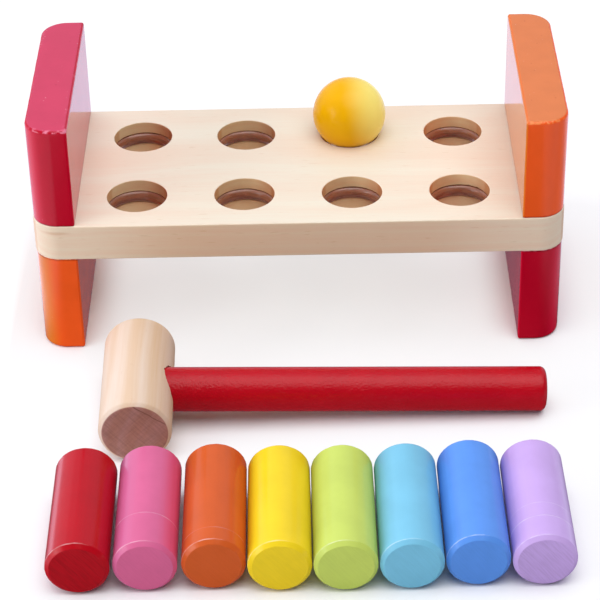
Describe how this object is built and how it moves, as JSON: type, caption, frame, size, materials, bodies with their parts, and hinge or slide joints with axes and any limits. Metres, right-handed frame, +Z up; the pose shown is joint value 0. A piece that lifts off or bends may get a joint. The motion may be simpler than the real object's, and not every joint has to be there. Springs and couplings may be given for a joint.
{
  "type": "peg pounding bench",
  "caption": "Wooden pounding bench toy: a holed plank between painted end blocks with rubber grip rings, loose coloured pegs, a mallet and a ball.",
  "frame": {"origin": "centre of the floor area that the whole set covers, on the floor that everything rests on", "axes": "+X to the right along the bench, +Y from the loose pegs towards the bench, +Z up"},
  "size_m": [0.28, 0.3236, 0.1345],
  "materials": {
    "natural_wood": "smooth sanded pale wood with straight grain",
    "dowel_wood": "plain hardwood, glued",
    "crimson_paint": "gloss paint on wood",
    "orange_paint": "gloss paint on wood",
    "handle_paint": "gloss paint on wood",
    "ball_paint": "smooth gloss paint on wood",
    "ring_rubber": "smooth glossy brown rubber",
    "peg_red_paint": "satin paint on wood",
    "peg_pink_paint": "satin paint on wood",
    "peg_orange_paint": "satin paint on wood",
    "peg_yellow_paint": "satin paint on wood",
    "peg_lime_paint": "satin paint on wood",
    "peg_sky_paint": "satin paint on wood",
    "peg_blue_paint": "satin paint on wood",
    "peg_lilac_paint": "satin paint on wood"
  },
  "bodies": {
    "bench": {"deck": "natural_wood", "block_upper_left": "crimson_paint", "block_upper_right": "orange_paint", "block_lower_left": "orange_paint", "block_lower_right": "crimson_paint", "dowel_left_front": "dowel_wood", "dowel_left_back": "dowel_wood", "dowel_right_front": "dowel_wood", "dowel_right_back": "dowel_wood", "grip_ring_front_1": "ring_rubber", "grip_ring_front_2": "ring_rubber", "grip_ring_front_3": "ring_rubber", "grip_ring_front_4": "ring_rubber", "grip_ring_back_1": "ring_rubber", "grip_ring_back_2": "ring_rubber", "grip_ring_back_3": "ring_rubber", "grip_ring_back_4": "ring_rubber"},
    "peg_red": {"peg_red": "peg_red_paint"},
    "peg_pink": {"peg_pink": "peg_pink_paint"},
    "peg_orange": {"peg_orange": "peg_orange_paint"},
    "peg_yellow": {"peg_yellow": "peg_yellow_paint"},
    "peg_lime": {"peg_lime": "peg_lime_paint"},
    "peg_sky": {"peg_sky": "peg_sky_paint"},
    "peg_blue": {"peg_blue": "peg_blue_paint"},
    "peg_lilac": {"peg_lilac": "peg_lilac_paint"},
    "mallet": {"mallet_head": "natural_wood", "mallet_handle": "handle_paint"},
    "ball": {"ball": "ball_paint"}
  },
  "joints": [
    {"name": "lift_peg_red", "type": "slide", "parent": "bench", "child": "peg_red", "axis": [0, 0, 1], "range_m": [0, 0.15]},
    {"name": "lift_peg_pink", "type": "slide", "parent": "bench", "child": "peg_pink", "axis": [0, 0, 1], "range_m": [0, 0.15]},
    {"name": "lift_peg_orange", "type": "slide", "parent": "bench", "child": "peg_orange", "axis": [0, 0, 1], "range_m": [0, 0.15]},
    {"name": "lift_peg_yellow", "type": "slide", "parent": "bench", "child": "peg_yellow", "axis": [0, 0, 1], "range_m": [0, 0.15]},
    {"name": "lift_peg_lime", "type": "slide", "parent": "bench", "child": "peg_lime", "axis": [0, 0, 1], "range_m": [0, 0.15]},
    {"name": "lift_peg_sky", "type": "slide", "parent": "bench", "child": "peg_sky", "axis": [0, 0, 1], "range_m": [0, 0.15]},
    {"name": "lift_peg_blue", "type": "slide", "parent": "bench", "child": "peg_blue", "axis": [0, 0, 1], "range_m": [0, 0.15]},
    {"name": "lift_peg_lilac", "type": "slide", "parent": "bench", "child": "peg_lilac", "axis": [0, 0, 1], "range_m": [0, 0.15]},
    {"name": "lift_mallet", "type": "slide", "parent": "bench", "child": "mallet", "axis": [0, 0, 1], "range_m": [0, 0.15]},
    {"name": "lift_ball", "type": "slide", "parent": "bench", "child": "ball", "axis": [0, 0, 1], "range_m": [0, 0.07]}
  ]
}
